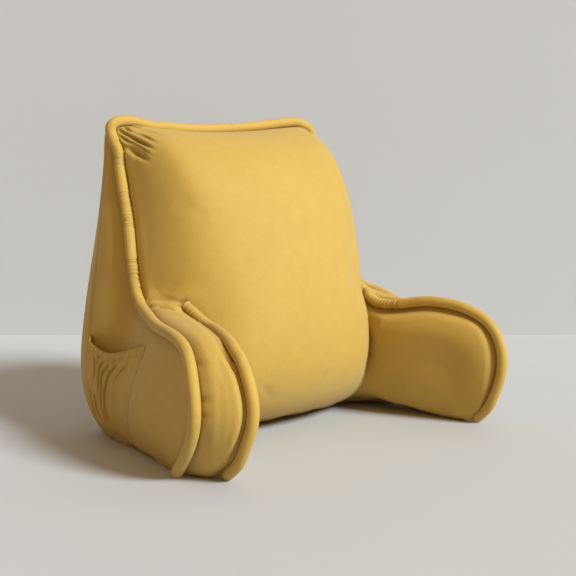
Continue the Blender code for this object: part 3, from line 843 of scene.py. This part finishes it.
def across_arm(points, line):
    """Each point's distance from an arm's inner seam, and how far out that seam is there.

    The distance is taken from the side. It is smooth all over, so that no ridge shows on the arm.
    """
    knots = line[::SEAM_KNOTS]
    step = np.linalg.norm(np.diff(knots, axis=0), axis=1).mean()
    squared = sum((points[:, k, None] - knots[None, :, k]) ** 2 for k in (1, 2))
    pull = 1 / (squared + SEAM_SOFTNESS**2) ** 2
    total = pull.sum(1)
    away = (2 * step * total / math.pi) ** (-1 / 3)
    seam = (pull * np.abs(knots[:, 0])).sum(1) / total
    return np.sqrt(np.maximum(away**2 - SEAM_SOFTNESS**2, 0)), seam


def crown_cover(points, normals, lines):
    """Rounds the cover up from its seams, most on the arms' inner faces and on their boxing."""
    outer = nearest_on(points, lines[:1])[0]
    inner = nearest_on(points, lines[1:])[0]
    turned = -np.sign(points[:, 0]) * normals[:, 0]
    left, right = (across_arm(points, line) for line in lines[1:])
    wide, seam = np.where(points[:, 0] < 0, left, right)
    inset = seam - np.abs(points[:, 0])
    arm = past(turned + SEAM_TURN[0] * bell(inner, SEAM_TURN[1]), *ARM_FACING)
    arm *= clamped(inset / SEAM_BLEND + 0.5) * past(points[:, 1], *ARM_ROOT)
    share = clamped(wide / ARM_CROWN[1])
    fill = ARM_START + ARM_CROWN[0] * share * (2 - share) - inset
    fill = (fill + np.sqrt(fill**2 + FILL_BLEND**2)) / 2
    low = rounded(points[:, 2] / FLOOR_ROUND)
    boxing = past(np.maximum(outer, inner), *BOXING_WIDTH)
    boxing *= past(np.abs(turned), *BOXING_FACING) * past(points[:, 1], *BOXING_TURN)
    nearest = np.minimum(outer, inner) - CROWN_START
    rise = boxing * BOXING_CROWN[0] * rounded(nearest / BOXING_CROWN[1])
    rise += (1 - arm) * PANEL_CROWN[0] * rounded(nearest / PANEL_CROWN[1])
    points += normals * (rise * low)[:, None]
    points[:, 0] -= np.sign(points[:, 0]) * arm * fill * low


def lift_underside(points):
    """Raises the cover's lower edges where they stand off the floor between the arms."""
    wide = np.abs(points[:, 0])
    low = clamped(1 - points[:, 2] / LIFT_HEIGHT) ** 2 * past(wide, *LIFT_INSIDE)
    for x, y, height in LIFTS:
        away = np.hypot(wide - x, points[:, 1] - y)
        points[:, 2] += height * low * bell(away, LIFT_REACH)


def draw_to_feet(points, lines):
    """Draws the cover's lower corners to the feet of the inner pipings."""
    for line in lines[1:]:
        way = line[-1] * (1, 1, 0) - points
        away = np.linalg.norm(way, axis=1, keepdims=True)
        points += way * bell(away, FOOT_REACH)


def crease_cover(points, normals, painted_shade):
    """Presses the hollows, seams, gathers, rolls and puckers into the filled cover, with painted shade in
    all but the hollows.
    """
    for size, line in HOLLOWS:
        press(points, normals, smooth_line(line, HOLLOW_STEP), *size, rise=0.4, fall=0.35, rim=0.0)
    for side in (1, -1):
        seam = smooth_line(mirrored(SIDE_SEAM_LINE, side), HOLLOW_STEP)
        press(points, normals, seam, *SIDE_SEAM, rise=0.05, fall=0.05, painted_shade=painted_shade)
    for size, line in CORNER_GATHERS:
        press(points, normals, smooth_line(line, CREASE_STEP), *size, rise=0.1, fall=0.45, painted_shade=painted_shade)
    for size, line in ROOT_ROLLS:
        for side in (1, -1):
            roll = smooth_line(mirrored(line, side), CREASE_STEP)
            press(points, normals, roll, *size, rise=0.12, fall=0.12, painted_shade=painted_shade)
    for size, line in BOXING_PUCKERS + FRONT_WRINKLES:
        press(points, normals, smooth_line(line, CREASE_STEP), *size, rise=0.1, fall=0.7, painted_shade=painted_shade)


def groove_boxing(points, normals, lines):
    """Turns the boxing down beside the inner pipings, most along the arms' tops."""
    for line, side in ((lines[1], 1), (lines[2], -1)):
        away, seam = nearest_on(points, [line[ROOT_TUCKED:]])
        away = away - PIPING_ROUND
        boxing = clamped(side * (seam[:, 0] - points[:, 0]) / SEAM_BLEND + 0.5)
        boxing *= past(side * normals[:, 0], *BOXING_SIDE)
        boxing *= past(points[:, 1], line[ROOT_TUCKED][1], -ROOT_BLEND)
        depth = GROOVE[0] * bell(away, GROOVE[1])
        top = past(points[:, 2], *ARM_TOP)
        depth += ROOT_GROOVE[0] * top * bell(np.maximum(away, 0), ROOT_GROOVE[1])
        points -= normals * (boxing * depth)[:, None]


def recess_pocket(points, normals):
    """Lets the cover in where the pocket is sewn on, so that its seams lie flush."""
    front_y, front_z, rear_y, rear_z, _ = np.array(POCKET_ROWS)[::-1].T
    heights = (front_z + rear_z) / 2
    y, z = points[:, 1], points[:, 2]
    behind = y - np.interp(z, heights, front_y)
    before = np.interp(z, heights, rear_y) - y
    inside = np.minimum.reduce((behind, before, heights[-1] - z))
    share = eased(clamped(inside / POCKET_EDGE + 0.5)) * past(-normals[:, 0], *POCKET_FACING)
    points -= normals * (share * POCKET_RECESS)[:, None]


def make_cover(sizes, cloth):
    """The stuffed cover, with channels for its pipings and a recess for its pocket."""
    lines = [seam_track(node) for node in PIPING_NODES]
    cover = sewn_copy()
    stuff(cover, sizes, lines)
    finish_with(cover, "SUBSURF", levels=1, render_levels=1)
    refine(cover)
    points, normals = places(cover), facings(cover)
    crown_cover(points, normals, lines)
    lift_underside(points)
    draw_to_feet(points, lines)
    painted_shade = np.zeros(len(points))
    crease_cover(points, normals, painted_shade)
    groove_boxing(points, normals, lines)
    recess_pocket(points, normals)
    points[:, 2] = np.maximum(points[:, 2], 0.0)
    move_to(cover, points)
    surface = surface_of(cover)
    seated = [seated_track(node, surface) for node in PIPING_NODES]
    make_room(points, [above_feet(track) for track in seated], PIPING_ROUND + CHANNEL_GAP)
    # painted shade beside the pipings, where the seam's groove lies in shadow
    beside = nearest_on(points, seated)[0] - PIPING_ROUND
    painted_shade = np.maximum(painted_shade, SEAM_SHADE[0] * bell(beside, SEAM_SHADE[1]))
    keep_painted_shade(cover, painted_shade)
    points[:, 2] = np.maximum(points[:, 2], 0.0)
    move_to(cover, points)
    activate(cover)
    bpy.ops.object.shade_smooth()
    cover.data.materials.append(velour("velour", cloth.velour, cloth.sheen))
    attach(cover, "root")
    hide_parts("body")
    return cover


# ------------------------------ piping


def gathered(name, at, turn, random):
    """How deep its gathers draw a piping in, and how much painted shade they get."""
    drawn = np.zeros(len(at))
    painted_shade = np.zeros(len(at))
    for start, end, depth, pitch in GATHERS[name]:
        spot = start
        while spot < end:
            width = pitch * random.uniform(*RIB_WIDTHS)
            middle = random.uniform(0.0, math.tau)
            slant = random.uniform(-RIB_SLANT, RIB_SLANT)
            lean = np.cos(turn - middle)
            deep = depth * random.uniform(*RIB_DEPTHS) * (1 - RIB_LEAN + RIB_LEAN * lean)
            rib = deep * bell(at - spot - slant * lean, width)
            drawn += rib
            # painted shade in the gather's groove
            painted_shade = np.maximum(painted_shade, rib / RIB_SHADE_DEPTH)
            spot += pitch * random.uniform(*RIB_PITCHES)
    return drawn, painted_shade


def close_tube(welt):
    """Sews the tube's long edges together and closes its ends."""
    activate(welt)
    mode("EDIT")
    bpy.ops.mesh.select_all(action="SELECT")
    bpy.ops.mesh.remove_doubles(threshold=MERGED)
    bpy.ops.mesh.select_all(action="DESELECT")
    bpy.ops.mesh.select_non_manifold()
    bpy.ops.mesh.edge_face_add()
    bpy.ops.mesh.select_all(action="SELECT")
    bpy.ops.mesh.normals_make_consistent(inside=False)
    mode("OBJECT")
    bpy.ops.object.shade_smooth()


def make_piping(name, surface, finish, random):
    """One fat welt: a tube along its seam, domed at its root, cut by the floor and gathered at bends."""
    track = seated_track(name, surface)
    along = lengths_along(track)
    ways = unit(np.gradient(track, axis=0))
    downs = unit(np.array([surface.find_nearest(point)[0] for point in track]) - track)
    downs = evened(downs, DOWN_ROUNDS)
    downs = unit(downs - ways * (downs * ways).sum(1, keepdims=True))
    sides = np.cross(ways, downs)
    deselect()
    bpy.ops.mesh.primitive_grid_add(x_subdivisions=len(track) - 1, y_subdivisions=PIPING_SIDES, size=1)
    welt = bpy.context.object
    welt.name = welt.data.name = name + "_welt"
    grid = places(welt)
    ring = np.rint((grid[:, 0] + 0.5) * (len(track) - 1)).astype(int)
    turn = (grid[:, 1] + 0.5) * math.tau
    at = along[ring]
    drawn, painted_shade = gathered(name, at, turn, random)
    radius = PIPING_ROUND - drawn
    for end, height in ((at, track[0][2]), (along[-1] - at, track[-1][2])):
        if height > ON_FLOOR:
            radius *= np.maximum(rounded(end / DOME), DOME_TIP)
    out = np.cos(turn)[:, None] * downs[ring] + np.sin(turn)[:, None] * sides[ring]
    made = track[ring] + out * radius[:, None]
    made[:, 2] = np.maximum(made[:, 2], 0.0)
    move_to(welt, made)
    keep_painted_shade(welt, painted_shade)
    close_tube(welt)
    welt.data.materials.append(finish)
    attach(welt, "root")
    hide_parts(name)
    return welt


# ------------------------------ pocket


def droop(across):
    """How far the mouth sags along its width, from 0 to 1, lowest just behind its middle."""
    return across**2 * np.maximum(1 - across, 0) ** DROOP_REAR / DROOP_PEAK


def pocket_relief(across, down):
    """How far the gathers draw the pocket's cloth in."""
    flat = np.stack((across * POCKET_WIDE, down * POCKET_TALL, 0 * across), axis=1)
    depth = np.zeros_like(across)
    for (width, deep), line in POCKET_FOLDS:
        rows = [(a * POCKET_WIDE, d * POCKET_TALL, 0) for a, d in line]
        away, share = away_and_along(flat, smooth_line(rows, CREASE_STEP))
        fade = eased(clamped(np.minimum(share / FOLD_FADE[0], (1 - share) / FOLD_FADE[1])))
        depth += deep * fade * (bell(away, width) - FOLD_RIM[0] * bell(away, FOLD_RIM[1] * width))
    return depth


def pocket_stance(across, down):
    """How far the pocket's cloth stands off the cover, and how much painted shade its folds and stitch
    lines get.
    """
    lean, round_off = MOUTH_SHAPE
    opening = np.sin(math.pi * across**lean) ** round_off * clamped((1 - across) / MOUTH_REAR)
    deep, fade = MOUTH_DEEP
    stand = MOUTH_STAND * opening * clamped(1 - down / deep) ** fade
    edges = np.minimum.reduce((SIDE_RISE * across, SIDE_RISE * (1 - across), LOWER_RISE * (1 - down)))
    sewn = eased(clamped(edges))
    full = eased(past(across, *POCKET_FULL))
    relief = pocket_relief(across, down) * sewn
    hem_down, hem_width, hem_depth = HEM
    hem = hem_depth * bell(down - hem_down, hem_width) * sewn
    deep, height, count = RIPPLES
    drift = RIPPLE_DRIFT[0] * np.sin(across * RIPPLE_DRIFT[1])
    ripple = height * np.cos(across * math.tau * count + drift) * clamped(1 - down / deep) * sewn
    puff = POCKET_PUFF * sewn * (POCKET_FLAT + (1 - POCKET_FLAT) * full) - relief - hem + ripple
    edge = np.minimum(across * POCKET_WIDE, (1 - down) * POCKET_TALL)
    # painted shadow along the sewn edge's step and the stitching groove beside it
    stitch_shadow = sum(dark * bell(edge - inside, width) for inside, dark, width in STITCH_SHADOWS)
    clear = stand + np.maximum(0, puff) - EDGE_SUNK * (1 - sewn)
    return clear, np.maximum(relief / POCKET_SHADE_DEPTH, stitch_shadow)


def make_pocket(cover, finish):
    """The gathered pocket: a thin sheet, sewn down on three sides, whose mouth stands open."""
    columns, rows = POCKET_GRID
    deselect()
    bpy.ops.mesh.primitive_grid_add(x_subdivisions=columns, y_subdivisions=rows, size=1)
    pocket = bpy.context.object
    pocket.name = pocket.data.name = "pocket"
    grid = places(pocket)
    across, down = grid[:, 0] + 0.5, 0.5 - grid[:, 1]
    levels = np.linspace(0, 1, len(POCKET_ROWS))
    values = [np.interp(down, levels, column) for column in zip(*POCKET_ROWS)]
    front_y, front_z, rear_y, rear_z, sag = values
    y = front_y + (rear_y - front_y) * across
    z = front_z + (rear_z - front_z) * across - sag * droop(across)
    clear, painted_shade = pocket_stance(across, down)
    surface = surface_of(cover)
    points, normals = places(cover), facings(cover)
    tree = tree_of(points)
    made = np.empty_like(grid)
    for i in range(len(grid)):
        hit = surface.ray_cast(Vector((LEFT_OF_ALL, y[i], z[i])), Vector((1, 0, 0)))[0]
        near = [k for _, k, _ in tree.find_range(hit, OUTWARD_REACH)]
        outward = Vector(normals[near].mean(0)).normalized()
        made[i] = hit + outward * (POCKET_CLOTH + clear[i])
    move_to(pocket, made)
    keep_painted_shade(pocket, painted_shade)
    activate(pocket)
    mode("EDIT")
    bpy.ops.mesh.select_all(action="SELECT")
    bpy.ops.mesh.normals_make_consistent(inside=False)
    mode("OBJECT")
    if facings(pocket)[:, 0].mean() > 0:
        mode("EDIT")
        bpy.ops.mesh.flip_normals()
        mode("OBJECT")
    finish_with(pocket, "SOLIDIFY", thickness=POCKET_CLOTH, offset=-1.0, use_even_offset=False)
    bpy.ops.object.shade_smooth()
    pocket.data.materials.append(finish)
    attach(pocket, "root")
    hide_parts("pocket_left")
    return pocket


# ------------------------------ stage


def floor_finish(colour):
    """A pale, faintly cloudy floor that is clear when it is seen from behind."""
    finish = Finish(bpy.data.materials.new("pale floor"))
    place = finish.add("ShaderNodeTexCoord")["Object"]
    cloudy = finish.noise(place, *FLOOR_CLOUDS)
    clouded = finish.mixed(cloudy, *(shade(colour, factor) for factor in FLOOR_SHADES))
    sockets = {"Base Color": clouded, "Roughness": FLOOR_ROUGHNESS}
    plain = finish.set(finish.nodes["Principled BSDF"], sockets)["BSDF"]
    behind = finish.add("ShaderNodeNewGeometry")["Backfacing"]
    clear = finish.add("ShaderNodeBsdfTransparent")["BSDF"]
    seen = finish.add("ShaderNodeMixShader", {}, {0: behind, 1: plain, 2: clear})["Shader"]
    finish.set(finish.nodes["Material Output"], {"Surface": seen})
    return finish.owner


def make_floor(colour):
    """A floor whose far edge is drawn up as a backdrop."""
    turn = math.radians(CAMERA_TURN[2])
    ahead = Vector((-math.sin(turn), math.cos(turn), 0.0))
    foot = Vector((CAMERA_PLACE[0], CAMERA_PLACE[1], 0.0)) + ahead * WALL_AWAY
    deselect()
    bpy.ops.mesh.primitive_plane_add(size=STAGE, location=foot - ahead * STAGE / 2, rotation=(0, 0, turn))
    floor = bpy.context.object
    floor.name = "floor"
    mode("EDIT")
    bpy.ops.mesh.select_mode(type="EDGE")
    bpy.ops.mesh.select_all(action="DESELECT")
    mode("OBJECT")
    for edge in floor.data.edges:
        ends = [floor.data.vertices[k].co for k in edge.vertices]
        edge.select = all(end.y > 0 for end in ends)
    mode("EDIT")
    bpy.ops.mesh.extrude_region_move(TRANSFORM_OT_translate={"value": (0, 0, WALL_TALL)})
    mode("OBJECT")
    floor.data.materials.append(floor_finish(colour))


def make_light(studio):
    """A soft sun and warm light from all around, which looks pale to the camera."""
    world = bpy.data.worlds.new("studio")
    bpy.context.scene.world = world
    bpy.context.scene.view_settings.view_transform = "Standard"
    room = Finish(world)
    sockets = {"Color": ROOM_COLOUR, "Strength": studio.fill}
    warm = room.set(room.nodes["Background"], sockets)["Background"]
    pale = room.add("ShaderNodeBackground", {}, {"Color": BACKDROP})["Background"]
    camera = room.add("ShaderNodeLightPath")["Is Camera Ray"]
    seen = room.add("ShaderNodeMixShader", {}, {0: camera, 1: warm, 2: pale})["Shader"]
    room.set(room.nodes["World Output"], {"Surface": seen})
    bpy.ops.object.light_add(type="SUN")
    sun = bpy.context.object
    sun.name = "window sun"
    sun.rotation_euler = Vector(SUN_FROM).to_track_quat("Z", "Y").to_euler()
    sun.data.energy = studio.key
    sun.data.angle = SUN_SOFTNESS
    sun.data.color = SUN_COLOUR


def make_camera():
    bpy.ops.object.camera_add(location=CAMERA_PLACE, rotation=[math.radians(x) for x in CAMERA_TURN])
    camera = bpy.context.object
    camera.name = "camera"
    camera.data.lens = CAMERA_LENS
    camera.data.sensor_width = CAMERA_SENSOR
    bpy.context.scene.camera = camera


# ------------------------------ add-on


class PILLOW_OT_stage(bpy.types.Operator):
    """Add the floor, the lamp and the camera"""

    bl_idname = "pillow.stage"
    bl_label = "Stage"

    def execute(self, context):
        studio = context.scene.pillow_studio
        make_floor(studio.floor)
        make_light(studio)
        make_camera()
        return {"FINISHED"}


class PILLOW_OT_cover(bpy.types.Operator):
    """Stuff the velour cover and gather its corner"""

    bl_idname = "pillow.cover"
    bl_label = "Cover"

    def execute(self, context):
        make_cover(context.scene.pillow_cover, context.scene.pillow_cloth)
        return {"FINISHED"}


class PILLOW_OT_piping(bpy.types.Operator):
    """Sew the fat piping along the seams"""

    bl_idname = "pillow.piping"
    bl_label = "Piping"

    def execute(self, context):
        cloth = context.scene.pillow_cloth
        finish = velour("piping velour", cloth.welt, cloth.sheen)
        surface = surface_of(bpy.data.objects["cover"])
        random = np.random.default_rng(GATHER_SEED)
        for name in PIPING_NODES:
            make_piping(name, surface, finish, random)
        return {"FINISHED"}


class PILLOW_OT_pocket(bpy.types.Operator):
    """Sew the gathered pocket to the left side"""

    bl_idname = "pillow.pocket"
    bl_label = "Pocket"

    def execute(self, context):
        cloth = context.scene.pillow_cloth
        make_pocket(bpy.data.objects["cover"], velour("pocket velour", cloth.velour, cloth.sheen))
        return {"FINISHED"}


class PILLOW_PT_panel(bpy.types.Panel):
    """The pillow's pieces and sizes"""

    bl_idname = "PILLOW_PT_panel"
    bl_label = "Reading Pillow"
    bl_space_type = "VIEW_3D"
    bl_region_type = "UI"
    bl_category = "Pillow"

    def draw(self, context):
        for operator in OPERATORS:
            self.layout.operator(operator.bl_idname)
        for group, kind in GROUPS.items():
            values = getattr(context.scene, group)
            for name in kind.__annotations__:
                self.layout.prop(values, name)


GROUPS = {"pillow_cover": PillowCover, "pillow_cloth": PillowCloth, "pillow_studio": PillowStudio}
OPERATORS = (PILLOW_OT_stage, PILLOW_OT_cover, PILLOW_OT_piping, PILLOW_OT_pocket)


def register():
    for kind in (*GROUPS.values(), *OPERATORS, PILLOW_PT_panel):
        bpy.utils.register_class(kind)
    for group, kind in GROUPS.items():
        setattr(bpy.types.Scene, group, PointerProperty(type=kind))


def unregister():
    for group in GROUPS:
        delattr(bpy.types.Scene, group)
    for kind in (PILLOW_PT_panel, *reversed(OPERATORS), *GROUPS.values()):
        bpy.utils.unregister_class(kind)


def main():
    register()
    bpy.ops.pillow.stage()
    bpy.ops.pillow.cover()
    bpy.ops.pillow.piping()
    bpy.ops.pillow.pocket()


if __name__ == "__main__":
    main()
